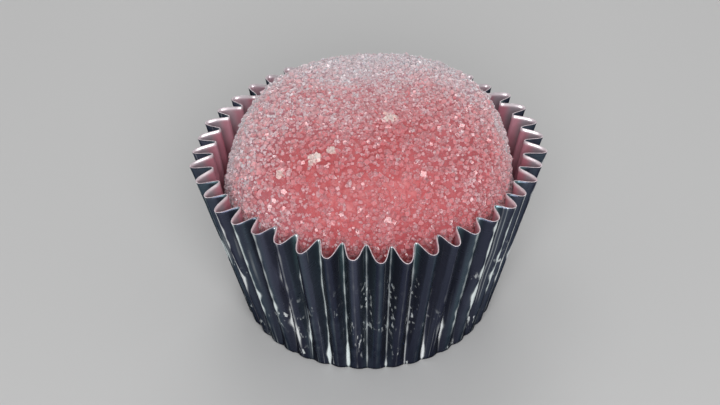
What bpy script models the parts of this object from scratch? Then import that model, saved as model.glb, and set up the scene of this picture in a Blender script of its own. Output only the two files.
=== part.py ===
"""A pink brigadeiro: a ball of strawberry fudge rolled in sugar, in its pleated foil case.

Run with blender --background --python part.py. Lengths are in metres, +Z is up, and the front is -Y.
The origin is the middle of the case's flat base, on the surface that the case stands on.
"""

import math
import random

import bmesh
import bpy
from mathutils import Euler, Vector, noise

# Foil case: a flat foil disc pressed into a cup, so its spare length gathers into flutes
FLUTES = 42
BASE_RADIUS = 0.01395
RIM_RADIUS = 0.0190
CASE_HEIGHT = 0.01925
RIM_FLUTE_DEPTH = 0.0023
WALL = 0.00022
FOOT_RADIUS = 0.0006
RIM_SHIFT = Vector((0.0002, 0.0004))
FIRST_CREST = math.radians(7.0)
CREST_WIDENING = 0.42
OUT_OF_ROUND = {2: (0.0057, 0.0), 3: (0.0041, 0.0032), 4: (0.0131, 0.0159)}
COLUMNS_PER_FLUTE = 6
WALL_LEVELS = (0.035, 0.3, 0.55, 0.77, 1.0)
CLEARANCE = 0.0003
FLUTE_EASING = 0.00015

# How unevenly the flutes are pressed
FLUTE_SEED = 11
ANGLE_JITTER = 0.09
DEPTH_JITTER = 0.08
REACH_JITTER = 0.00022
RIM_JITTER = 0.00020

# Fudge ball, widest a little below the rim, squarish and tapered above and rounder below
BALL_HALF_WIDTH = 0.0156
BALL_HALF_DEPTH = 0.0147
BALL_SHIFT = Vector((0.00015, -0.0004))
BALL_WAIST = 0.0145
BALL_TOP = 0.0269
BALL_BOTTOM = 0.0006
PLAN_SQUARENESS = 2.3
PLAN_ROUND_BELOW = 0.0145
PLAN_SQUARE_ABOVE = 0.0185
UPPER_SQUARENESS = 3.6
LOWER_SQUARENESS = 1.85
BALL_TAPER = 0.095
BALL_LEAN = 0.046
LUMP_SIZE = 0.0065
LUMP_HEIGHT = 0.00022
CRUST_SIZE = 0.0011
CRUST_HEIGHT = 0.00013
COARSE_BALL_STEPS = 4
EXPOSED_FROM = 0.0150
FULLY_EXPOSED_FROM = 0.0185

# Sugar: the largest grains, set in the part of the ball that stands free of the case
SUGAR_SEED = 5
SUGAR_GRAINS = 165
SUGAR_FROM = 0.0175
LARGEST_GRAIN = 0.00095
SMALLEST_GRAIN = 0.00048
GRAIN_PROUD = 0.35
GOLDEN_ANGLE = math.pi * (3 - math.sqrt(5))

SHARP_EDGE = math.radians(55)


def clear_scene():
    for obj in list(bpy.data.objects):
        bpy.data.objects.remove(obj, do_unlink=True)


def new_collection(name):
    collection = bpy.data.collections.new(name)
    bpy.context.scene.collection.children.link(collection)
    return collection


def material(name, colour, roughness, metallic):
    mat = bpy.data.materials.new(name)
    mat.use_nodes = True
    shader = mat.node_tree.nodes["Principled BSDF"]
    shader.inputs["Base Color"].default_value = (*colour, 1.0)
    shader.inputs["Roughness"].default_value = roughness
    shader.inputs["Metallic"].default_value = metallic
    return mat


def object_from_bmesh(bm, name, collection, mat):
    mesh = bpy.data.meshes.new(name)
    bm.to_mesh(mesh)
    bm.free()
    mesh.materials.append(mat)
    obj = bpy.data.objects.new(name, mesh)
    collection.objects.link(obj)
    return obj


def shade(obj):
    """Shades the faces smooth and keeps the edges that turn sharply."""
    obj.data.shade_smooth()
    obj.data.set_sharp_from_angle(angle=SHARP_EDGE)


def mix(a, b, share):
    return a + (b - a) * share


class Flutes:
    """Seeded unevenness of the flutes, blended from one crest to the next round the case."""

    def __init__(self):
        draw = random.Random(FLUTE_SEED)
        self.angle = [draw.uniform(-1, 1) * ANGLE_JITTER for _ in range(FLUTES)]
        self.depth = [1 + draw.uniform(-1, 1) * DEPTH_JITTER for _ in range(FLUTES)]
        self.reach = [draw.uniform(-1, 1) * REACH_JITTER for _ in range(FLUTES)]
        self.rim = [draw.uniform(-1, 1) * RIM_JITTER for _ in range(FLUTES)]

    @staticmethod
    def blend(values, turn):
        whole = math.floor(turn)
        return mix(values[whole % FLUTES], values[(whole + 1) % FLUTES], turn - whole)


def slant_length(level):
    """Length of foil up the side, from the base to a share of the way to the rim."""
    return math.hypot(CASE_HEIGHT, RIM_RADIUS - BASE_RADIUS) * level


def spare_length(level):
    """Foil gathered in one flute: a ring of the flat disc against the ring that it is pressed into."""
    flat_ring = BASE_RADIUS + slant_length(level)
    pressed_ring = mix(BASE_RADIUS, RIM_RADIUS - RIM_FLUTE_DEPTH / 2, level)
    return math.sqrt(flat_ring**2 - pressed_ring**2)


def flute_depth(level):
    return RIM_FLUTE_DEPTH * spare_length(level) / spare_length(1.0)


def roundness(angle, level):
    """Share by which the case is out of round, fading to nothing at its base."""
    wave = sum(c * math.cos(k * angle) + s * math.sin(k * angle) for k, (c, s) in OUT_OF_ROUND.items())
    return 1 + wave * level


def across_share(x, y, squareness=PLAN_SQUARENESS):
    """How far out a point is in the ball's squarish plan, as a share of the way to its edge."""
    power = squareness
    return (abs(x / BALL_HALF_WIDTH) ** power + abs(y / BALL_HALF_DEPTH) ** power) ** (1 / power)


def corner_share(x, y, height):
    """Share of its squarish width that the ball keeps where the round case presses its corners in."""
    rounded = across_share(x, y) / max(across_share(x, y, 2), 1e-9)
    squarish = min(max((height - PLAN_ROUND_BELOW) / (PLAN_SQUARE_ABOVE - PLAN_ROUND_BELOW), 0), 1)
    return mix(rounded, 1, squarish)


def ball_reach(angle, level):
    """How far the fudge reaches from the case's middle at a level, so that its flutes can clear it."""
    rise = CASE_HEIGHT * level - BALL_WAIST
    half_height = BALL_TOP - BALL_WAIST if rise > 0 else BALL_WAIST - BALL_BOTTOM
    power = UPPER_SQUARENESS if rise > 0 else LOWER_SQUARENESS
    share = max(1 - abs(rise / half_height) ** power, 0.0) ** (1 / power)
    outward = Vector((math.cos(angle), math.sin(angle)))
    share *= corner_share(*outward, BALL_WAIST + rise)
    shift = BALL_SHIFT + Vector((BALL_LEAN * rise, 0)) - RIM_SHIFT * level
    return share / across_share(*outward) + shift.dot(outward)


def eased_least(a, b):
    """The smaller of two lengths, eased where they cross so that the flutes bend without a kink."""
    return -FLUTE_EASING * math.log(math.exp(-a / FLUTE_EASING) + math.exp(-b / FLUTE_EASING))


def case_point(turn, level, flutes):
    """A point of the case's outer face. turn counts flutes round it, with a crest at each whole one."""
    angle = FIRST_CREST + math.tau * (turn + flutes.blend(flutes.angle, turn) * level) / FLUTES
    reach = mix(BASE_RADIUS, RIM_RADIUS + flutes.blend(flutes.reach, turn), level)
    crest = reach * roundness(angle, level)
    room = crest - ball_reach(angle, level) - CLEARANCE - WALL
    depth = eased_least(flute_depth(level) * flutes.blend(flutes.depth, turn), room)
    phase = math.tau * turn
    crest_share = 0.5 + 0.5 * math.cos(phase - CREST_WIDENING * math.sin(phase))
    radius = crest - depth * (1 - crest_share)
    height = math.sqrt(slant_length(level) ** 2 - (radius - BASE_RADIUS) ** 2)
    height += flutes.blend(flutes.rim, turn) * level
    outward = Vector((math.cos(angle), math.sin(angle)))
    return (outward * radius + RIM_SHIFT * level).to_3d() + Vector((0, 0, height))


def foil_case(collection):
    """The pleated cup: a round floor whose edge is drawn out ring by ring, then given its wall."""
    flutes = Flutes()
    columns = FLUTES * COLUMNS_PER_FLUTE
    bm = bmesh.new()
    floor_radius = BASE_RADIUS - FOOT_RADIUS
    floor = bmesh.ops.create_circle(bm, cap_ends=True, segments=columns, radius=floor_radius)
    ring = sorted(floor["verts"], key=lambda v: math.atan2(v.co.y, v.co.x) % math.tau)
    for column, vertex in enumerate(ring):
        angle = FIRST_CREST + math.tau * column / columns
        vertex.co = Vector((floor_radius * math.cos(angle), floor_radius * math.sin(angle), 0))
    for level in WALL_LEVELS:
        upper = []
        for column in range(columns):
            upper.append(bm.verts.new(case_point(column / COLUMNS_PER_FLUTE, level, flutes)))
        for column in range(columns):
            after = (column + 1) % columns
            bm.faces.new((ring[column], ring[after], upper[after], upper[column]))
        ring = upper
    bmesh.ops.recalc_face_normals(bm, faces=bm.faces)
    if min(bm.faces, key=lambda f: f.calc_center_median().z).normal.z > 0:
        bmesh.ops.reverse_faces(bm, faces=bm.faces)
    foil = material("foil", (0.55, 0.56, 0.60), 0.18, 1.0)
    case = object_from_bmesh(bm, "foil_case", collection, foil)
    wall = case.modifiers.new("wall", "SOLIDIFY")
    wall.thickness = WALL
    wall.offset = -1
    return case


def exposure(height):
    """Share by which the fudge stands free of its case, and so by which its relief is full."""
    return min(max((height - EXPOSED_FROM) / (FULLY_EXPOSED_FROM - EXPOSED_FROM), 0), 1)


def ball_point(direction):
    """The fudge's surface in a direction from the middle of its waist, without its crust of sugar."""
    upper = direction.z > 0
    power = UPPER_SQUARENESS if upper else LOWER_SQUARENESS
    half_height = BALL_TOP - BALL_WAIST if upper else BALL_WAIST - BALL_BOTTOM
    across = across_share(direction.x, direction.y)
    along = abs(direction.z) / half_height
    point = direction * (across**power + along**power) ** (-1 / power)
    taper = 1 - BALL_TAPER * max(point.z, 0) / half_height
    taper *= corner_share(direction.x, direction.y, point.z + BALL_WAIST)
    plan = point.xy * taper + BALL_SHIFT + Vector((BALL_LEAN * point.z, 0))
    point = Vector((*plan, point.z + BALL_WAIST))
    lump = noise.noise(point / LUMP_SIZE) * LUMP_HEIGHT * mix(0.3, 1, exposure(point.z))
    return point + direction * lump


def crust(point, direction):
    """The same surface raised and sunk by grains too fine to model one by one."""
    return point + direction * noise.noise(point / CRUST_SIZE) * CRUST_HEIGHT * exposure(point.z)


def fudge_ball(collection):
    bm = bmesh.new()
    bmesh.ops.create_icosphere(bm, subdivisions=COARSE_BALL_STEPS, radius=1.0)
    exposed = [e for e in bm.edges if min(ball_point(v.co.normalized()).z for v in e.verts) > EXPOSED_FROM]
    bmesh.ops.subdivide_edges(bm, edges=exposed, cuts=1, use_grid_fill=True)
    bmesh.ops.triangulate(bm, faces=bm.faces)
    for vertex in bm.verts:
        direction = vertex.co.normalized()
        vertex.co = crust(ball_point(direction), direction)
    fudge = material("sugared_fudge", (0.72, 0.20, 0.22), 0.45, 0.0)
    return object_from_bmesh(bm, "brigadeiro", collection, fudge)


def grain_directions(draw):
    """Directions spread evenly over the ball by the golden angle, each moved a little."""
    spread = SUGAR_GRAINS * 5 // 2
    for index in range(spread):
        height = 1 - (2 * index + 1) / spread
        height = min(max(height + draw.uniform(-1, 1) / spread, -1), 1)
        turn = GOLDEN_ANGLE * index + draw.uniform(-0.12, 0.12)
        across = math.sqrt(1 - height * height)
        yield Vector((across * math.cos(turn), across * math.sin(turn), height))


def sugar_grains(collection, mat):
    """Blocky sugar grains, largest first, each sunk by its own share into the ball."""
    draw = random.Random(SUGAR_SEED)
    spots = [d for d in grain_directions(draw) if ball_point(d).z > SUGAR_FROM]
    draw.shuffle(spots)
    for index, direction in enumerate(spots[:SUGAR_GRAINS]):
        size = mix(LARGEST_GRAIN, SMALLEST_GRAIN, (index / SUGAR_GRAINS) ** 0.5)
        bm = bmesh.new()
        bmesh.ops.create_cube(bm, size=size)
        stretch = Vector((draw.uniform(0.75, 1.1), draw.uniform(0.75, 1.1), draw.uniform(0.6, 0.85)))
        bmesh.ops.scale(bm, vec=stretch, verts=bm.verts)
        grain = object_from_bmesh(bm, f"grain_{index:03d}", collection, mat)
        turn = Euler([draw.uniform(-0.5, 0.5), draw.uniform(-0.5, 0.5), draw.uniform(0, math.tau)])
        upright = direction.to_track_quat("Z", "Y")
        grain.rotation_euler = (upright @ turn.to_quaternion()).to_euler()
        middle = size * stretch.z * (GRAIN_PROUD - 0.5)
        grain.location = crust(ball_point(direction), direction) + direction * middle


def fuse(obj, pieces):
    """Joins every object of a collection to obj as one solid, and removes them."""
    join = obj.modifiers.new("sugar", "BOOLEAN")
    join.operation = "UNION"
    join.solver = "MANIFOLD"
    join.operand_type = "COLLECTION"
    join.collection = pieces
    with bpy.context.temp_override(object=obj, active_object=obj):
        bpy.ops.object.modifier_apply(modifier=join.name)
    for piece in list(pieces.objects):
        bpy.data.objects.remove(piece, do_unlink=True)
    bpy.data.collections.remove(pieces)


def main():
    clear_scene()
    parts = new_collection("brigadeiro_in_foil_case")
    foil_case(parts)
    ball = fudge_ball(parts)
    grains = new_collection("sugar_grains")
    sugar_grains(grains, ball.data.materials[0])
    bpy.context.view_layer.update()
    fuse(ball, grains)
    for node in parts.objects:
        shade(node)


main()
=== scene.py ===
"""Looks of the pink brigadeiro: its sugared fudge, its foil case, the floor, the light and the camera.

Lengths are in metres, +Z is up, and the front is -Y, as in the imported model.
"""

import math
import random

import bmesh
import bpy
from mathutils import Matrix, Quaternion, Vector, noise


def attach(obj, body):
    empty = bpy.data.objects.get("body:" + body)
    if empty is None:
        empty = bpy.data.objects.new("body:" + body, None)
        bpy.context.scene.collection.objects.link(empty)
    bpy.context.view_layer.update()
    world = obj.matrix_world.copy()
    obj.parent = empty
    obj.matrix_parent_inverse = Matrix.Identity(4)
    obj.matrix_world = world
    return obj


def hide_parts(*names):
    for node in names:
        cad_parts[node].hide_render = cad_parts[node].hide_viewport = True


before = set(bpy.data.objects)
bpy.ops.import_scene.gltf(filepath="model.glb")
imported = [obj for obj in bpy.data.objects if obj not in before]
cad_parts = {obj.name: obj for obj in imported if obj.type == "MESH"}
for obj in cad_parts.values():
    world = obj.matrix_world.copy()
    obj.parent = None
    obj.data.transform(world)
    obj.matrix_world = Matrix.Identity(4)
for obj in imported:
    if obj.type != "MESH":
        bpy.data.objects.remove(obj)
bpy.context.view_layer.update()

# Foil case, with the CAD model's sizes
FLUTES = 42
BASE_RADIUS = 0.01395
RIM_RADIUS = 0.0190
CASE_HEIGHT = 0.01925
RIM_FLUTE_DEPTH = 0.0023
CAD_WALL = 0.00022
FOOT_RADIUS = 0.0006
RIM_SHIFT = Vector((0.0002, 0.0004))
FIRST_CREST = math.radians(7.0)
CREST_WIDENING = 0.42
OUT_OF_ROUND = {2: (0.0057, 0.0), 3: (0.0041, 0.0032), 4: (0.0131, 0.0159)}
CLEARANCE = 0.0003
FLUTE_EASING = 0.00015
FLUTE_SEED = 11
ANGLE_JITTER = 0.09
DEPTH_JITTER = 0.08
REACH_JITTER = 0.00022
RIM_JITTER = 0.00020

# Finer shape of the foil
FOIL_THICKNESS = 0.00010
INSET = 0.00002
COLUMNS_PER_FLUTE = 18
WALL_ROWS = 46
FOOT_ROWS = 4
FOOT_LEVEL = 0.035
CREASES_PER_FLUTE = 3.2
CREASE_HEIGHT = 0.00007
DENTS_ROUND_CASE = 80
DENTS_UP_CASE = 13
DENT_DEPTH = 0.00010
DENTED_BELOW = 0.62

# Painted highlights, as bright lines along the foil's folds. Levels and reaches are shares of the case's
# height, widths are shares of half a flute, and a fold's number counts half flutes from the first crest
SHINE_SEED = 42
FAINT_LINE = 0.22
FRONT_LINE_WIDTH = 0.19
SIDE_LINE_WIDTH = 0.28
FRONT_LINE_STRENGTH = 0.72
SIDE_LINE_STRENGTH = 1.15
LINE_BEATS = 15
LINE_UNEVENNESS = 0.8
LOWEST_GLINT = 0.07
HIGHEST_GLINT = 0.52
GLINT_REACH = 0.065
GLINT_STRENGTH = 2.2
GLINT_WIDENING = 1.5
DULL_FOLD = 63
DULL_LINE = 0.62
DULL_GLINT = 0.25

# Fudge ball, with the CAD model's sizes
BALL_HALF_WIDTH = 0.0156
BALL_HALF_DEPTH = 0.0147
BALL_SHIFT = Vector((0.00015, -0.0004))
BALL_WAIST = 0.0145
BALL_TOP = 0.0269
BALL_BOTTOM = 0.0006
PLAN_SQUARENESS = 2.3
PLAN_ROUND_BELOW = 0.0145
PLAN_SQUARE_ABOVE = 0.0185
UPPER_SQUARENESS = 3.6
LOWER_SQUARENESS = 1.85
BALL_TAPER = 0.095
BALL_LEAN = 0.046
LUMP_SIZE = 0.0065
LUMP_HEIGHT = 0.00022
CRUST_SIZE = 0.0011
CRUST_HEIGHT = 0.00013
EXPOSED_FROM = 0.0150
FULLY_EXPOSED_FROM = 0.0185

# Finer shape of the fudge
BALL_STEPS = 6
PORE_SIZE = 0.0005
PORE_DEPTH = 0.00008

# Sugar: the CAD model's largest grains, then thousands of finer ones
SUGAR_SEED = 5
SUGAR_GRAINS = 165
SUGAR_FROM = 0.0175
LARGEST_GRAIN = 0.00095
SMALLEST_GRAIN = 0.00048
GOLDEN_ANGLE = math.pi * (3 - math.sqrt(5))
CRYSTAL_SHAPES = 14
CRYSTAL_SEED = 23
CRUMB_SEED = 41
CRUMB_CRYSTALS = 16
CLUMP_CRYSTALS = 6
CLEAR_GRAINS = {"count": 9000, "sizes": (0.00024, 0.00052), "seed": 31, "least_thick": 0.9}
FROSTED_GRAINS = {"count": 12000, "sizes": (0.00016, 0.00036), "seed": 37, "least_thick": 0.25}
SUGARED_FROM = 0.0095
SUGAR_TOP = 0.0272

# Where the sugar is thin, where painted sheen whitens it, and how uneven the borders of both are
BARE_SIDE = Vector((0.22, -0.82, 0.46)).normalized()
# Painted sheen: whiter on top and behind, and at the sides away from the camera
PAINTED_SHEEN_SIDE = Vector((0.0, 0.75, 0.66)).normalized()
CAMERA_SIDE = Vector((0.02, -0.79, 0.61)).normalized()
THIN_PATCHES = 0.35
PAINTED_SHEEN_PATCHES = 0.14

# Cream-coloured crumbs: angle round the sweet and angle up from its waist in degrees, then size
CRUMB_SPOTS = {
    "near the top": (-64, 69.5, 0.0018),
    "left": (-124.3, 43, 0.0013),
    "above the left one": (-117.4, 48.5, 0.0009),
    "lower left": (-136, 33, 0.0011),
}

# Camera, as far off and as high as the photograph's perspective shows
CAMERA_HEIGHT_ANGLE = math.radians(37.806)
CAMERA_DISTANCE = 0.22178
CAMERA_AIM = Vector((-0.000805, 0, 0.012489))
CAMERA_ROLL = math.radians(-1.106)
CAMERA_LENS_MM = 100
CAMERA_SENSOR_MM = 36

# Studio: each light's place, width and power in watts
LIGHTS = {
    "key": ((-0.08, 0.16, 0.40), 0.20, 0.12),
    "fill": ((0.01, -0.37, 0.27), 0.30, 1.58),
    "back": ((0.03, 0.42, 0.20), 0.30, 0.48),
}
AIR_BRIGHTNESS = 0.55
AIR_STRENGTH = 0.52
FLOOR_BRIGHTNESS = 0.62
FLOOR_HALF_WIDTH = 1.5

# Colours, in linear light
# Foil outside: painted reflection of dark surroundings, in dark, blue and green-blue tones
FOIL_DARK_REFLECTION = (0.046, 0.051, 0.078, 1)
FOIL_BLUE_REFLECTION = (0.080, 0.085, 0.126, 1)
FOIL_GREEN_BLUE_REFLECTION = (0.066, 0.094, 0.120, 1)
# Painted shade: the foil darkens towards its base
FOIL_PAINTED_SHADE_LOW_DOWN = (0.018, 0.020, 0.034, 1)
# Painted reflection: a teal tint on the inward folds under the rim
FOIL_PAINTED_TEAL_REFLECTION = (0.150, 0.245, 0.270, 1)
# Painted highlights: silver for the lines and glints along the folds
FOIL_PAINTED_HIGHLIGHT = (0.97, 0.99, 1.0, 1)
FOIL_COOL_PAINTED_HIGHLIGHT = (0.91, 1.0, 1.0, 1)
FOIL_SHEEN = (0.10, 0.11, 0.14, 1)
# Foil inside: painted reflections of the sweet, and grey at the sides for grey surroundings
WINE_REFLECTION = (0.63, 0.25, 0.32, 1)
LIGHT_WINE_REFLECTION = (0.76, 0.39, 0.47, 1)
TOOTH_PINK_REFLECTION = (0.66, 0.49, 0.56, 1)
LIGHT_TOOTH_PINK_REFLECTION = (0.80, 0.64, 0.70, 1)
TOOTH_GREY_REFLECTION = (0.40, 0.38, 0.42, 1)
RIM_PINK = (0.86, 0.78, 0.82, 1)
EDGE_PINK = (0.66, 0.54, 0.59, 1)
LIGHT_EDGE_PINK = (0.88, 0.80, 0.84, 1)
FUDGE_RED = (0.49, 0.084, 0.093, 1)
LIGHT_FUDGE_RED = (0.58, 0.118, 0.129, 1)
FROSTED_FUDGE = (0.48, 0.23, 0.28, 1)
DUST_PINK = (0.74, 0.42, 0.47, 1)
FUDGE_PAINTED_SHEEN = (0.60, 0.55, 0.60, 1)
SUGAR_PAINTED_SHEEN = (0.74, 0.71, 0.75, 1)
SHEEN_WHITE = (0.97, 0.93, 0.98, 1)
CLEAR_SUGAR = ((0.84, 0.51, 0.54, 1), (0.64, 0.175, 0.195, 1))
FROSTED_SUGAR = ((0.84, 0.79, 0.83, 1), (0.72, 0.28, 0.31, 1))
CREAM_SUGAR = ((1.0, 0.76, 0.70, 1), (0.96, 0.56, 0.53, 1))


def mix(a, b, share):
    return a + (b - a) * share


def ease(value, low, high):
    """A smooth step from 0 at low to 1 at high."""
    share = min(max((value - low) / (high - low), 0), 1)
    return share * share * (3 - 2 * share)


class Graph:
    """A material and short ways of adding nodes to it."""

    def __init__(self, name):
        self.material = bpy.data.materials.new(name)
        self.material.use_nodes = True
        self.tree = self.material.node_tree
        self.shader = self.tree.nodes["Principled BSDF"]
        self.place = self.add("ShaderNodeTexCoord").outputs["Object"]

    def add(self, kind, sockets=(), **settings):
        node = self.tree.nodes.new(kind)
        for key, value in settings.items():
            setattr(node, key, value)
        for key, value in dict(sockets).items():
            self.put(node.inputs[key], value)
        return node

    def put(self, socket, value):
        if isinstance(value, bpy.types.NodeSocket):
            self.tree.links.new(value, socket)
        else:
            socket.default_value = value

    def surface(self, **sockets):
        """Sets the shader's own sockets, written with _ for each space."""
        for key, value in sockets.items():
            self.put(self.shader.inputs[key.replace("_", " ")], value)

    def attribute(self, name, output="Fac"):
        return self.add("ShaderNodeAttribute", attribute_name=name).outputs[output]

    def stretched(self, upright, place):
        """Places squeezed along z, which stretches a texture upright."""
        sockets = {"Vector": place, "Scale": (1, 1, upright)}
        return self.add("ShaderNodeMapping", sockets).outputs["Vector"]

    def noise(self, size, detail, place=None):
        sockets = {"Vector": place or self.place, "Scale": 1 / size, "Detail": detail}
        return self.add("ShaderNodeTexNoise", sockets).outputs["Fac"]

    def cells(self, size):
        sockets = {"Vector": self.place, "Scale": 1 / size}
        return self.add("ShaderNodeTexVoronoi", sockets).outputs["Distance"]

    def between(self, value, low, high, to_low=0.0, to_high=1.0):
        sockets = {"Value": value, "From Min": low, "From Max": high, "To Min": to_low, "To Max": to_high}
        node = self.add("ShaderNodeMapRange", sockets, interpolation_type="SMOOTHSTEP")
        return node.outputs["Result"]

    def math(self, operation, first, *others):
        """Works through several values, two at a time."""
        for other in others:
            node = self.add("ShaderNodeMath", operation=operation)
            self.put(node.inputs[0], first)
            self.put(node.inputs[1], other)
            first = node.outputs["Value"]
        return first

    def contour(self, value, width):
        """A thin line wherever a value crosses its middle."""
        off_middle = self.add("ShaderNodeMath", operation="ABSOLUTE")
        self.put(off_middle.inputs[0], self.math("SUBTRACT", value, 0.5))
        return self.between(off_middle.outputs["Value"], width, 0)

    def blend(self, share, a, b):
        node = self.add("ShaderNodeMix", data_type="RGBA")
        for socket, value in zip([node.inputs[0], node.inputs[6], node.inputs[7]], [share, a, b]):
            self.put(socket, value)
        return node.outputs[2]

    def bump(self, height, depth, strength=1.0):
        sockets = {"Height": height, "Distance": depth, "Strength": strength}
        return self.add("ShaderNodeBump", sockets).outputs["Normal"]


def grey(value):
    return (value, value, value, 1)


def new_piece(name, verts, faces, *materials):
    mesh = bpy.data.meshes.new(name)
    mesh.from_pydata(verts, [], faces)
    mesh.update()
    for material in materials:
        mesh.materials.append(material)
    piece = bpy.data.objects.new(name, mesh)
    bpy.context.scene.collection.objects.link(piece)
    return piece


# The foil case's shape, as the CAD model works it out


class Flutes:
    """Seeded unevenness of the flutes, blended from one crest to the next round the case."""

    def __init__(self):
        draw = random.Random(FLUTE_SEED)
        self.angle = [draw.uniform(-1, 1) * ANGLE_JITTER for _ in range(FLUTES)]
        self.depth = [1 + draw.uniform(-1, 1) * DEPTH_JITTER for _ in range(FLUTES)]
        self.reach = [draw.uniform(-1, 1) * REACH_JITTER for _ in range(FLUTES)]
        self.rim = [draw.uniform(-1, 1) * RIM_JITTER for _ in range(FLUTES)]

    @staticmethod
    def blend(values, turn):
        whole = math.floor(turn)
        return mix(values[whole % FLUTES], values[(whole + 1) % FLUTES], turn - whole)


def slant_length(level):
    """Length of foil up the side, from the base to a share of the way to the rim."""
    return math.hypot(CASE_HEIGHT, RIM_RADIUS - BASE_RADIUS) * level


def spare_length(level):
    """Foil gathered in one flute: a ring of the flat disc against the ring that it is pressed into."""
    flat_ring = BASE_RADIUS + slant_length(level)
    pressed_ring = mix(BASE_RADIUS, RIM_RADIUS - RIM_FLUTE_DEPTH / 2, level)
    return math.sqrt(flat_ring**2 - pressed_ring**2)


def flute_depth(level):
    return RIM_FLUTE_DEPTH * spare_length(level) / spare_length(1.0)


def roundness(angle, level):
    """Share by which the case is out of round, fading to nothing at its base."""
    wave = sum(c * math.cos(k * angle) + s * math.sin(k * angle) for k, (c, s) in OUT_OF_ROUND.items())
    return 1 + wave * level


def across_share(x, y, squareness=PLAN_SQUARENESS):
    """How far out a point is in the ball's squarish plan, as a share of the way to its edge."""
    power = squareness
    return (abs(x / BALL_HALF_WIDTH) ** power + abs(y / BALL_HALF_DEPTH) ** power) ** (1 / power)


def corner_share(x, y, height):
    """Share of its squarish width that the ball keeps where the round case presses its corners in."""
    rounded = across_share(x, y) / max(across_share(x, y, 2), 1e-9)
    squarish = min(max((height - PLAN_ROUND_BELOW) / (PLAN_SQUARE_ABOVE - PLAN_ROUND_BELOW), 0), 1)
    return mix(rounded, 1, squarish)


def ball_reach(angle, level):
    """How far the fudge reaches from the case's middle at a level, so that its flutes can clear it."""
    rise = CASE_HEIGHT * level - BALL_WAIST
    half_height = BALL_TOP - BALL_WAIST if rise > 0 else BALL_WAIST - BALL_BOTTOM
    power = UPPER_SQUARENESS if rise > 0 else LOWER_SQUARENESS
    share = max(1 - abs(rise / half_height) ** power, 0.0) ** (1 / power)
    outward = Vector((math.cos(angle), math.sin(angle)))
    share *= corner_share(*outward, BALL_WAIST + rise)
    shift = BALL_SHIFT + Vector((BALL_LEAN * rise, 0)) - RIM_SHIFT * level
    return share / across_share(*outward) + shift.dot(outward)


def eased_least(a, b):
    """The smaller of two lengths, eased where they cross so that the flutes bend without a kink."""
    return -FLUTE_EASING * math.log(math.exp(-a / FLUTE_EASING) + math.exp(-b / FLUTE_EASING))


def crease_and_dent(turn, level, crest_share):
    """How far the foil stands in from its smooth flutes: fine upright creases, and dents low down."""
    angle = math.tau * turn / FLUTES
    around = Vector((math.cos(angle), math.sin(angle), 0))
    creases = around * FLUTES * CREASES_PER_FLUTE / math.tau + Vector((0, 0, level * 3))
    crease = abs(noise.noise(creases)) * CREASE_HEIGHT * mix(0.5, 1, crest_share)
    dents = around * DENTS_ROUND_CASE / math.tau + Vector((3, 5, level * DENTS_UP_CASE))
    patch = ease(noise.noise(around * 2.2 + Vector((0, 0, level * 1.5))), -0.35, 0.35)
    low_down = ease(level, 0.03, 0.15) * (1 - ease(level, DENTED_BELOW * 0.6, DENTED_BELOW))
    dent = abs(noise.noise(dents)) * DENT_DEPTH * patch * low_down
    fade = ease(level, 0, 0.05) * (1 - ease(level, 0.97, 1.0))
    return (crease + dent * 2) * fade


def case_point(turn, level, flutes):
    """A point of the case's outer face, and how near it is to a crest. Each whole turn is a crest."""
    angle = FIRST_CREST + math.tau * (turn + flutes.blend(flutes.angle, turn) * level) / FLUTES
    reach = mix(BASE_RADIUS, RIM_RADIUS + flutes.blend(flutes.reach, turn), level)
    crest = reach * roundness(angle, level)
    room = crest - ball_reach(angle, level) - CLEARANCE - CAD_WALL
    depth = eased_least(flute_depth(level) * flutes.blend(flutes.depth, turn), room)
    phase = math.tau * turn
    crest_share = 0.5 + 0.5 * math.cos(phase - CREST_WIDENING * math.sin(phase))
    radius = crest - depth * (1 - crest_share)
    height = math.sqrt(slant_length(level) ** 2 - (radius - BASE_RADIUS) ** 2)
    height += flutes.blend(flutes.rim, turn) * level
    radius -= INSET + crease_and_dent(turn, level, crest_share)
    outward = Vector((math.cos(angle), math.sin(angle)))
    point = (outward * radius + RIM_SHIFT * level).to_3d() + Vector((0, 0, height))
    return point, crest_share


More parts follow.
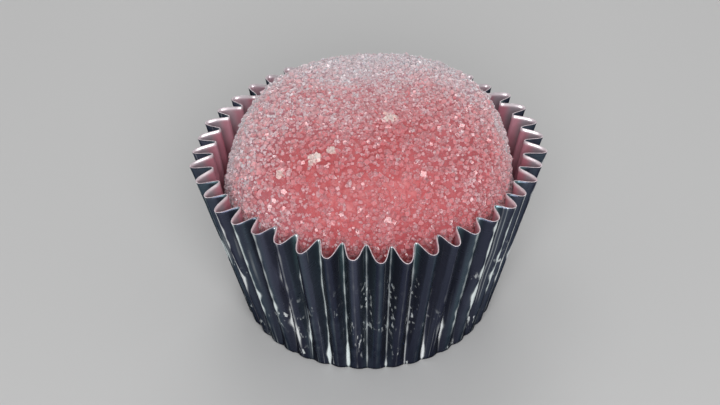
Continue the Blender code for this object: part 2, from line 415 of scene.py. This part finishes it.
class Shine:
    """How strongly and how widely each fold of the foil gets painted highlights along its length."""

    def __init__(self):
        draw = random.Random(SHINE_SEED)
        self.strength = [draw.uniform(0.5, 1.25) for _ in range(2 * FLUTES)]
        self.glint = [draw.uniform(0.15, 1.0) for _ in range(2 * FLUTES)]
        self.lift = [draw.uniform(-0.06, 0.06) for _ in range(2 * FLUTES)]

    @staticmethod
    def nearest(turn):
        """Number of the nearest fold: even for outward folds, odd for inward ones."""
        return round(2 * turn) % (2 * FLUTES)

    @staticmethod
    def dullness(fold):
        """Share by which a fold is dull, as the few in the middle of the front are."""
        return 1 - ease(abs(fold - DULL_FOLD), 2, 4)

    def smudged_highlight(self, turn, level):
        """How strongly bright specks are painted as smudged highlights: half way up the dull inward folds.
        """
        fold = self.nearest(turn)
        half_way = ease(level, 0.22, 0.40) * (1 - ease(level, 0.66, 0.84))
        return self.dullness(fold) * half_way * (fold % 2)

    def line(self, turn, level):
        """Strength and width of the painted highlight line along the nearest fold, in shares of half a
        flute.

        Inward folds, at half turns, are the bright ones in front, and outward folds at the sides. Each line
        swells into a painted glint low down and fades out below it, and the glints stand higher at the
        sides.
        """
        fold = self.nearest(turn)
        aside = abs(math.cos(FIRST_CREST + math.pi * fold / FLUTES))
        sideways = ease(aside, 0.4, 0.75)
        lit = mix(1, FAINT_LINE, sideways) if fold % 2 else mix(FAINT_LINE, 1, sideways)
        dull = self.dullness(fold)
        uneven = 1 + LINE_UNEVENNESS * noise.noise(Vector((fold * 3.7, level * LINE_BEATS, 0)))
        glint_level = mix(LOWEST_GLINT, HIGHEST_GLINT, ease(aside, 0.25, 0.95)) + self.lift[fold]
        above_glint = level - glint_level
        glint = self.glint[fold] * math.exp(-((above_glint / GLINT_REACH) ** 2))
        glint *= ease(lit, 0.2, 0.6) * mix(1, DULL_GLINT, dull)
        strength = lit * self.strength[fold] * mix(FRONT_LINE_STRENGTH, SIDE_LINE_STRENGTH, sideways)
        strength *= uneven * mix(1, 0.8, level) * mix(1, DULL_LINE, dull)
        strength *= mix(0.25, 1, ease(above_glint, -0.2, -0.03))
        width = mix(FRONT_LINE_WIDTH, SIDE_LINE_WIDTH, sideways) * uneven
        return strength + GLINT_STRENGTH * glint, width * (1 + GLINT_WIDENING * glint)


def wall_levels():
    return [mix(FOOT_LEVEL, 1, (row / WALL_ROWS) ** 1.1) for row in range(WALL_ROWS + 1)]


def foil_grid():
    """Rings of points from the floor's middle to the rim, with each point's fold and height shares."""
    flutes = Flutes()
    columns = FLUTES * COLUMNS_PER_FLUTE
    floor_radius = BASE_RADIUS - FOOT_RADIUS
    lowest = [case_point(column / COLUMNS_PER_FLUTE, FOOT_LEVEL, flutes) for column in range(columns)]
    rings = []
    for share in (0.35, 0.7, 0.95, 1.0):
        ring = []
        for column in range(columns):
            angle = FIRST_CREST + math.tau * column / columns
            ring.append((Vector((math.cos(angle), math.sin(angle), 0)) * floor_radius * share, 0.5, 0.0))
        rings.append(ring)
    for row in range(1, FOOT_ROWS):
        bend = math.pi / 2 * row / FOOT_ROWS
        ring = []
        for (start, _, _), (end, crest_share) in zip(rings[3], lowest):
            across = mix(start, end, math.sin(bend))
            across.z = end.z * (1 - math.cos(bend))
            ring.append((across, crest_share, 0.0))
        rings.append(ring)
    for level in wall_levels():
        ring = []
        for column in range(columns):
            point, crest_share = case_point(column / COLUMNS_PER_FLUTE, level, flutes)
            ring.append((point, crest_share, level))
        rings.append(ring)
    return rings


def foil_case(outside, inside, edge):
    """The case as one sheet that runs from its floor's middle to its rim, thickened inward."""
    rings = foil_grid()
    columns = len(rings[0])
    points = [Vector((0, 0, 0))] + [point for ring in rings for point, _, _ in ring]
    faces = [(0, 1 + (column + 1) % columns, 1 + column) for column in range(columns)]
    for row in range(len(rings) - 1):
        low, high = 1 + row * columns, 1 + (row + 1) * columns
        for column in range(columns):
            after = (column + 1) % columns
            faces.append((low + column, low + after, high + after, high + column))
    case = new_piece("foil_shell", points, faces, outside, inside, edge)
    mark_foil(case, rings)
    wall = case.modifiers.new("wall", "SOLIDIFY")
    wall.thickness = FOIL_THICKNESS
    wall.offset = -1
    wall.material_offset = 1
    wall.material_offset_rim = 2
    case.data.shade_smooth()
    return case


def mark_foil(case, rings):
    """Stores on each point of the foil, its middle first, what the materials need to know of its folds."""
    marks = {name: [0.0] for name in ("crest", "level", "off_fold", "shine", "shine_width", "smudged_highlight")}
    straight = [Vector((0, 0, 0))]
    shine = Shine()
    for ring in rings:
        for column, (_, crest_share, level) in enumerate(ring):
            turn = column / COLUMNS_PER_FLUTE
            angle = math.tau * turn / FLUTES
            around = Vector((math.cos(angle), math.sin(angle), 0)) * RIM_RADIUS
            straight.append(around + Vector((0, 0, slant_length(level))))
            marks["crest"].append(crest_share)
            marks["level"].append(level)
            marks["off_fold"].append(abs(2 * turn - round(2 * turn)))
            strength, width = shine.line(turn, level)
            marks["shine"].append(strength)
            marks["shine_width"].append(width)
            marks["smudged_highlight"].append(shine.smudged_highlight(turn, level))
    for name, values in marks.items():
        case.data.attributes.new(name, "FLOAT", "POINT").data.foreach_set("value", values)
    flat = [number for place in straight for number in place]
    case.data.attributes.new("straight", "FLOAT_VECTOR", "POINT").data.foreach_set("vector", flat)


def foil_outside():
    """Dark foil with painted highlight lines along its folds, painted glints in crinkles between them and a
    painted teal reflection under the rim.

    The dark is a painted reflection and the lines are painted highlights, standing in for what real foil
    mirrors.
    """
    g = Graph("foil_outside")
    place, level = g.attribute("straight", "Vector"), g.attribute("level")
    upright, straight_up = g.stretched(0.02, place), g.stretched(0.0, place)
    frayed = g.between(g.noise(0.0007, 3, g.stretched(0.15, place)), 0.3, 0.7, -0.025, 0.025)
    off_fold = g.math("ADD", g.attribute("off_fold"), frayed)
    # Painted highlights: a bright line along each fold, swelling into painted glints
    fold = g.math("POWER", g.between(off_fold, g.attribute("shine_width"), 0.0), 1.8)
    fold = g.math("MULTIPLY", fold, g.attribute("shine"), 1.1)
    shown = g.between(g.noise(0.0030, 2, g.stretched(0.3, place)), 0.45, 0.65)
    # Painted highlights along some crease lines
    creases = g.math("MULTIPLY", g.contour(g.noise(0.0012, 1, straight_up), 0.02), shown, 0.4)
    # Painted glints: bright specks in crinkled patches and on the smudged folds
    crinkled = g.between(g.noise(0.0042, 2, place), 0.50, 0.66)
    crinkled = g.math("MULTIPLY", crinkled, g.between(level, 0.85, 0.4))
    crinkled = g.math("MULTIPLY", g.math("MAXIMUM", crinkled, g.attribute("smudged_highlight")), 0.8)
    specks = g.between(g.noise(0.00034, 2, g.stretched(0.35, place)), 0.56, 0.66)
    specks = g.math("MULTIPLY", specks, crinkled)
    # All painted highlights together, blended toward silver below
    bright = g.math("MAXIMUM", fold, creases, specks)
    hue = g.between(g.noise(0.0019, 2, upright), 0.35, 0.65)
    shade = g.between(g.noise(0.0008, 2, upright), 0.35, 0.65)
    # Painted reflection: the foil's dark tones stand in for the dark surroundings that it mirrors
    dark = g.blend(shade, FOIL_DARK_REFLECTION, g.blend(hue, FOIL_BLUE_REFLECTION, FOIL_GREEN_BLUE_REFLECTION))
    # Painted shade: darker towards the base of the case
    dark = g.blend(g.between(level, 0.4, 0.0, 0.0, 0.55), dark, FOIL_PAINTED_SHADE_LOW_DOWN)
    # Painted teal reflection on the inward folds just under the rim
    inward = g.between(g.attribute("crest"), 0.45, 0.0)
    uneven = g.between(g.noise(0.0025, 1, upright), 0.35, 0.6, 0.15, 1.0)
    inward = g.math("MULTIPLY", inward, g.between(level, 0.62, 0.95), uneven)
    dark = g.blend(inward, dark, FOIL_PAINTED_TEAL_REFLECTION)
    colour = g.blend(g.between(bright, 0, 1), dark, g.blend(hue, FOIL_PAINTED_HIGHLIGHT, FOIL_COOL_PAINTED_HIGHLIGHT))
    rough = g.between(g.noise(0.0016, 3, place), 0.3, 0.7, 0.16, 0.32)
    grain = g.bump(g.noise(0.0005, 3, g.stretched(0.35, place)), 0.00004, 0.6)
    metal = g.between(bright, 0.5, 1.2, 0.65, 0.35)
    g.surface(Base_Color=colour, Metallic=metal, Roughness=rough, Normal=grain)
    g.surface(Specular_IOR_Level=0.0, Specular_Tint=FOIL_SHEEN)
    return g.material


def foil_inside():
    """Foil painted with the sweet's reflection: wine red, with paler teeth that turn grey at the sides, a
    painted reflection of grey surroundings.
    """
    g = Graph("foil_inside")
    crest, level = g.attribute("crest"), g.attribute("level")
    straight = g.attribute("straight", "Vector")
    upright = g.stretched(0.08, straight)
    across = g.add("ShaderNodeSeparateXYZ", {"Vector": straight}).outputs["X"]
    squared = g.math("MULTIPLY", across, across)
    beside = g.between(squared, (0.72 * RIM_RADIUS) ** 2, (0.95 * RIM_RADIUS) ** 2)
    # Painted reflections: wine red where the wall mirrors the sweet, paler pink teeth, grey teeth at the
    # sides
    streak = g.between(g.noise(0.0011, 3, upright), 0.35, 0.65)
    wine = g.blend(streak, WINE_REFLECTION, LIGHT_WINE_REFLECTION)
    pale = g.blend(streak, TOOTH_PINK_REFLECTION, LIGHT_TOOTH_PINK_REFLECTION)
    pale = g.blend(g.math("MULTIPLY", beside, 0.8), pale, TOOTH_GREY_REFLECTION)
    outward = g.math("MULTIPLY", g.between(crest, 0.15, 0.6), g.between(level, 0.7, 0.95))
    colour = g.blend(outward, wine, pale)
    colour = g.blend(g.between(level, 0.97, 0.995), colour, RIM_PINK)
    rough = g.between(g.noise(0.0012, 3), 0.3, 0.7, 0.30, 0.45)
    grain = g.bump(g.noise(0.0006, 3, upright), 0.00004, 0.5)
    g.surface(Base_Color=colour, Metallic=0.55, Roughness=rough, Normal=grain)
    return g.material


def foil_edge():
    """The pale cut edge of the foil and its paper backing."""
    g = Graph("foil_edge")
    fibre = g.between(g.noise(0.0003, 3), 0.35, 0.65)
    colour = g.blend(fibre, EDGE_PINK, LIGHT_EDGE_PINK)
    g.surface(Base_Color=colour, Metallic=0.2, Roughness=0.35, Normal=g.bump(fibre, 0.00002))
    return g.material


# The fudge ball's shape, as the CAD model works it out


def exposure(height):
    """Share by which the fudge stands free of its case, and so by which its relief is full."""
    return min(max((height - EXPOSED_FROM) / (FULLY_EXPOSED_FROM - EXPOSED_FROM), 0), 1)


def ball_point(direction):
    """The fudge's surface in a direction from the middle of its waist, without its crust of sugar."""
    upper = direction.z > 0
    power = UPPER_SQUARENESS if upper else LOWER_SQUARENESS
    half_height = BALL_TOP - BALL_WAIST if upper else BALL_WAIST - BALL_BOTTOM
    across = across_share(direction.x, direction.y)
    along = abs(direction.z) / half_height
    point = direction * (across**power + along**power) ** (-1 / power)
    taper = 1 - BALL_TAPER * max(point.z, 0) / half_height
    taper *= corner_share(direction.x, direction.y, point.z + BALL_WAIST)
    plan = point.xy * taper + BALL_SHIFT + Vector((BALL_LEAN * point.z, 0))
    point = Vector((*plan, point.z + BALL_WAIST))
    lump = noise.noise(point / LUMP_SIZE) * LUMP_HEIGHT * mix(0.3, 1, exposure(point.z))
    return point + direction * lump


def crust(point, direction):
    """The same surface raised and sunk by grains too fine to model one by one."""
    return point + direction * noise.noise(point / CRUST_SIZE) * CRUST_HEIGHT * exposure(point.z)


def pored(point, direction):
    """The crust with the small pits that show between the grains."""
    pore = noise.noise(point / PORE_SIZE) * PORE_DEPTH * mix(0.4, 1, exposure(point.z))
    return crust(point, direction) + direction * pore


def frosting(direction):
    """How thickly the fudge is sugared in a direction: thinly in front, thickly above and behind."""
    bare = ease(direction.dot(BARE_SIDE), 0.25, 0.90)
    patch = noise.noise(direction * 2.6 + Vector((7, 1, 4)))
    return min(max(1 - 0.9 * bare + THIN_PATCHES * patch, 0.04), 1)


def painted_sheen(direction):
    """How strongly painted sheen whitens the sugar in a direction: white on top and at the sides away from
    the camera, pink in front and low behind.
    """
    patch = PAINTED_SHEEN_PATCHES * noise.noise(direction * 3.3 + Vector((2, 8, 5)))
    behind = ease(direction.dot(PAINTED_SHEEN_SIDE) + patch, 0.70, 0.98)
    beside = 0.95 * (1 - ease(direction.dot(CAMERA_SIDE) + patch, -0.02, 0.54))
    low_behind = ease(-direction.dot(CAMERA_SIDE) + patch, 0.0, 0.48)
    return max(behind, beside) * (1 - 0.8 * low_behind)


def frost_and_painted_sheen(piece):
    """Stores how thickly each place is sugared, and how strongly painted sheen whitens it, for the
    materials.
    """
    middle = Vector((0, 0, BALL_WAIST))
    directions = [(vertex.co - middle).normalized() for vertex in piece.data.vertices]
    # frost is how thickly the fudge is sugared; white is the share of painted sheen
    shares = {
        "frost": [frosting(direction) for direction in directions],
        "white": [painted_sheen(direction) for direction in directions],
    }
    for name, values in shares.items():
        piece.data.attributes.new(name, "FLOAT", "POINT").data.foreach_set("value", values)


def fudge_ball(material):
    """The ball as one mesh, four times as fine where it stands free of its case."""
    bm = bmesh.new()
    bmesh.ops.create_icosphere(bm, subdivisions=BALL_STEPS, radius=1.0)
    for _ in range(2):
        heights = {vertex: ball_point(vertex.co.normalized()).z for vertex in bm.verts}
        shown = [edge for edge in bm.edges if min(heights[v] for v in edge.verts) > EXPOSED_FROM]
        bmesh.ops.subdivide_edges(bm, edges=shown, cuts=1, use_grid_fill=True)
        bmesh.ops.triangulate(bm, faces=bm.faces)
    for vertex in bm.verts:
        direction = vertex.co.normalized()
        vertex.co = pored(ball_point(direction), direction)
    mesh = bpy.data.meshes.new("fudge_core")
    bm.to_mesh(mesh)
    bm.free()
    mesh.materials.append(material)
    mesh.shade_smooth()
    ball = bpy.data.objects.new("fudge_core", mesh)
    bpy.context.scene.collection.objects.link(ball)
    return ball


def fudge():
    """Moist coral-pink fudge under a dusting of broken sugar."""
    g = Graph("fudge")
    frost = g.attribute("frost")
    patch = g.between(g.noise(0.0042, 3), 0.32, 0.68)
    base = g.blend(patch, FUDGE_RED, LIGHT_FUDGE_RED)
    base = g.blend(g.math("MULTIPLY", frost, 0.7), base, FROSTED_FUDGE)
    dust = g.between(g.cells(0.00026), 0.36, 0.12)
    drifts = g.between(g.noise(0.0016, 3), 0.45, 0.7, 0.12, 0.5)
    dusty = g.math("MAXIMUM", g.math("MULTIPLY", frost, 0.8), drifts)
    colour = g.blend(g.math("MULTIPLY", dust, dusty), base, DUST_PINK)
    # Painted sheen: the fudge is whitened on top and at the sides
    colour = g.blend(g.math("MULTIPLY", g.attribute("white"), 0.7), colour, FUDGE_PAINTED_SHEEN)
    rough = g.between(g.noise(0.0008, 2), 0.3, 0.7, 0.32, 0.55)
    relief = g.bump(g.math("ADD", g.noise(0.00022, 4), dust), 0.00007, 0.7)
    g.surface(Base_Color=colour, Roughness=rough, Normal=relief)
    g.surface(Subsurface_Weight=0.3, Subsurface_Scale=0.0010, Subsurface_Radius=(1.0, 0.35, 0.3))
    g.surface(Sheen_Weight=0.9, Sheen_Roughness=0.35, Sheen_Tint=SHEEN_WHITE)
    return g.material


def sugar(name, colours, roughness, painted_sheen_share):
    """Sugar crystals, each a little paler or pinker than the next by the tint stored on it."""
    g = Graph(name)
    pale, deep = colours
    colour = g.blend(g.attribute("tint"), deep, pale)
    cloudy = g.between(g.noise(0.0002, 2), 0.35, 0.65, 0.0, 0.15)
    colour = g.blend(cloudy, colour, pale)
    # Painted sheen: the sugar is whitened on top and at the sides
    colour = g.blend(g.math("MULTIPLY", g.attribute("white"), painted_sheen_share), colour, SUGAR_PAINTED_SHEEN)
    relief = g.bump(g.noise(0.00012, 2), 0.00001, 0.5)
    g.surface(Base_Color=colour, Roughness=roughness, IOR=1.55, Normal=relief)
    g.surface(Subsurface_Weight=0.5, Subsurface_Scale=0.0005, Subsurface_Radius=(1.0, 0.7, 0.65))
    g.surface(Sheen_Weight=0.8, Sheen_Roughness=0.35, Sheen_Tint=SHEEN_WHITE)
    return g.material


def blocks(most_broken):
    """Blocky crystals one unit across with uneven corners, and with some of the corners broken off.

    Their faces are sorted, because a bevel lists them in another order from run to run.
    """
    draw = random.Random(CRYSTAL_SEED)
    shapes = []
    for _ in range(CRYSTAL_SHAPES):
        bm = bmesh.new()
        bmesh.ops.create_cube(bm, size=1)
        for vertex in list(bm.verts):
            vertex.co += Vector([draw.uniform(-0.12, 0.12) for _ in range(3)])
        corners = draw.sample(list(bm.verts), draw.randint(0, most_broken))
        if corners:
            cut = draw.uniform(0.18, 0.34)
            bmesh.ops.bevel(bm, geom=corners, offset=cut, affect="VERTICES", segments=1)
        bmesh.ops.triangulate(bm, faces=bm.faces)
        bm.verts.index_update()
        faces = sorted([vertex.index for vertex in face.verts] for face in bm.faces)
        shapes.append(([vertex.co.copy() for vertex in bm.verts], faces))
        bm.free()
    return shapes


class Crystals:
    """Gathers crystals into one mesh, with a tint stored on each."""

    def __init__(self, shapes, seed):
        self.shapes = shapes
        self.draw = random.Random(seed)
        self.verts = []
        self.faces = []
        self.tints = []

    def place(self, middle, turn, stretch, tint):
        verts, faces = self.draw.choice(self.shapes)
        start = len(self.verts)
        for vertex in verts:
            self.verts.append(middle + turn @ Vector(a * b for a, b in zip(vertex, stretch)))
        self.faces.extend([[start + index for index in face] for face in faces])
        self.tints.extend([tint] * len(verts))

    def clump(self, direction, size, count):
        """Places crystals within a lump of a given size on the ball."""
        draw = self.draw
        for _ in range(count):
            aside = Vector([draw.gauss(0, 1) for _ in range(3)]) * size * 0.2
            aim = (direction + aside / BALL_HALF_WIDTH).normalized()
            stretch = Vector([draw.uniform(0.7, 1.1) for _ in range(3)]) * size * draw.uniform(0.25, 0.48)
            middle = pored(ball_point(aim), aim) + aim * size * draw.uniform(-0.02, 0.16)
            middle.z = min(middle.z, SUGAR_TOP - stretch.length / 2)
            turn = Quaternion([draw.gauss(0, 1) for _ in range(4)]).normalized()
            self.place(middle, turn, stretch, draw.random())

    def piece(self, name, material):
        piece = new_piece(name, self.verts, self.faces, material)
        tint = piece.data.attributes.new("tint", "FLOAT", "POINT")
        tint.data.foreach_set("value", self.tints)
        return piece


def even_directions(count, draw):
    """Directions spread evenly over a sphere by the golden angle, each moved a little."""
    for index in range(count):
        height = 1 - (2 * index + 1) / count
        height = min(max(height + draw.uniform(-1, 1) / count, -1), 1)
        turn = GOLDEN_ANGLE * index + draw.uniform(-0.12, 0.12)
        across = math.sqrt(1 - height * height)
        yield Vector((across * math.cos(turn), across * math.sin(turn), height))


def large_grains(shapes, material):
    """The large grains that the CAD model fuses to the ball, each a clump of smaller crystals here."""
    draw = random.Random(SUGAR_SEED)
    spots = [d for d in even_directions(SUGAR_GRAINS * 5 // 2, draw) if ball_point(d).z > SUGAR_FROM]
    draw.shuffle(spots)
    crystals = Crystals(shapes, CRYSTAL_SEED)
    for index, direction in enumerate(spots[:SUGAR_GRAINS]):
        size = mix(LARGEST_GRAIN, SMALLEST_GRAIN, (index / SUGAR_GRAINS) ** 0.5)
        crystals.clump(direction, size, CLUMP_CRYSTALS)
    return crystals.piece("sugar_large_grains", material)


def scattered_directions(count, draw, least_thick):
    """Random directions over the sugared part of the ball, more of them where it is thickly sugared."""
    while count:
        direction = Vector([draw.gauss(0, 1) for _ in range(3)]).normalized()
        point = ball_point(direction)
        if point.z > SUGARED_FROM and draw.random() < mix(least_thick, 1, frosting(direction)):
            count -= 1
            yield direction, point


def fine_grains(name, shapes, material, count, sizes, seed, least_thick):
    """Grains finer than the CAD model's, pressed into the fudge at every angle."""
    crystals = Crystals(shapes, seed)
    draw = crystals.draw
    for direction, point in scattered_directions(count, draw, least_thick):
        size = mix(*sizes, draw.random() ** 1.6)
        stretch = Vector([draw.uniform(0.7, 1.15) for _ in range(3)]) * size
        turn = Quaternion([draw.gauss(0, 1) for _ in range(4)]).normalized()
        proud = size * mix(-0.12, 0.25, draw.random()) * mix(0.5, 1, exposure(point.z))
        middle = pored(point, direction) + direction * proud
        middle.z = min(middle.z, SUGAR_TOP - size)
        crystals.place(middle, turn, stretch, mix(0.08, 0.8, frosting(direction)) * draw.random() ** 0.5)
    return crystals.piece(name, material)


def crumbs(shapes, material):
    """The few cream-coloured crumbs on the sweet, each a clump of fine crystals."""
    crystals = Crystals(shapes, CRUMB_SEED)
    for azimuth, height, size in CRUMB_SPOTS.values():
        turn, lift = math.radians(azimuth), math.radians(height)
        aim = Vector((math.cos(lift) * math.cos(turn), math.cos(lift) * math.sin(turn), math.sin(lift)))
        crystals.clump(aim, size, CRUMB_CRYSTALS)
    return crystals.piece("sugar_cream_crumbs", material)


def area_light(name, place, size, power):
    light = bpy.data.lights.new(name, "AREA")
    light.shape = "DISK"
    light.size = size
    light.energy = power
    lamp = bpy.data.objects.new(name, light)
    lamp.location = place
    lamp.rotation_euler = (CAMERA_AIM - Vector(place)).to_track_quat("-Z", "Y").to_euler()
    bpy.context.scene.collection.objects.link(lamp)


def studio():
    """A pale floor under soft light, most of it from in front, with less from above and behind."""
    g = Graph("studio_floor")
    g.surface(Base_Color=grey(FLOOR_BRIGHTNESS), Roughness=0.75)
    half = FLOOR_HALF_WIDTH
    corners = [(-half, -half, 0), (half, -half, 0), (half, half, 0), (-half, half, 0)]
    new_piece("studio_floor", corners, [(0, 1, 2, 3)], g.material)
    for name, (place, size, power) in LIGHTS.items():
        area_light(name, place, size, power)
    world = bpy.data.worlds.new("studio_air")
    world.use_nodes = True
    air = world.node_tree.nodes["Background"]
    air.inputs["Color"].default_value = grey(AIR_BRIGHTNESS)
    air.inputs["Strength"].default_value = AIR_STRENGTH
    bpy.context.scene.world = world
    bpy.context.scene.view_settings.view_transform = "Standard"


def camera():
    view = bpy.data.cameras.new("photo_view")
    view.lens = CAMERA_LENS_MM
    view.sensor_width = CAMERA_SENSOR_MM
    view.clip_start = 0.01
    piece = bpy.data.objects.new("photo_view", view)
    bpy.context.scene.collection.objects.link(piece)
    back = Vector((0, -math.cos(CAMERA_HEIGHT_ANGLE), math.sin(CAMERA_HEIGHT_ANGLE)))
    aimed = (-back).to_track_quat("-Z", "Y").to_matrix().to_4x4()
    place = Matrix.Translation(CAMERA_AIM + back * CAMERA_DISTANCE)
    piece.matrix_world = place @ aimed @ Matrix.Rotation(CAMERA_ROLL, 4, "Z")
    bpy.context.scene.camera = piece


def main():
    camera()
    studio()
    case = foil_case(foil_outside(), foil_inside(), foil_edge())
    whole, chipped = blocks(most_broken=0), blocks(most_broken=4)
    clear = sugar("sugar_clear", CLEAR_SUGAR, roughness=0.15, painted_sheen_share=0.75)
    frosted = sugar("sugar_frosted", FROSTED_SUGAR, roughness=0.28, painted_sheen_share=0.75)
    cream = sugar("sugar_cream", CREAM_SUGAR, roughness=0.25, painted_sheen_share=0.1)
    sweet = [
        fudge_ball(fudge()),
        large_grains(chipped, clear),
        fine_grains("sugar_clear_grains", chipped, clear, **CLEAR_GRAINS),
        fine_grains("sugar_frosted_grains", whole, frosted, **FROSTED_GRAINS),
        crumbs(chipped, cream),
    ]
    for piece in sweet:
        frost_and_painted_sheen(piece)
        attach(piece, "root")
        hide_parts("brigadeiro")
    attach(case, "root")
    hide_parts("foil_case")


main()
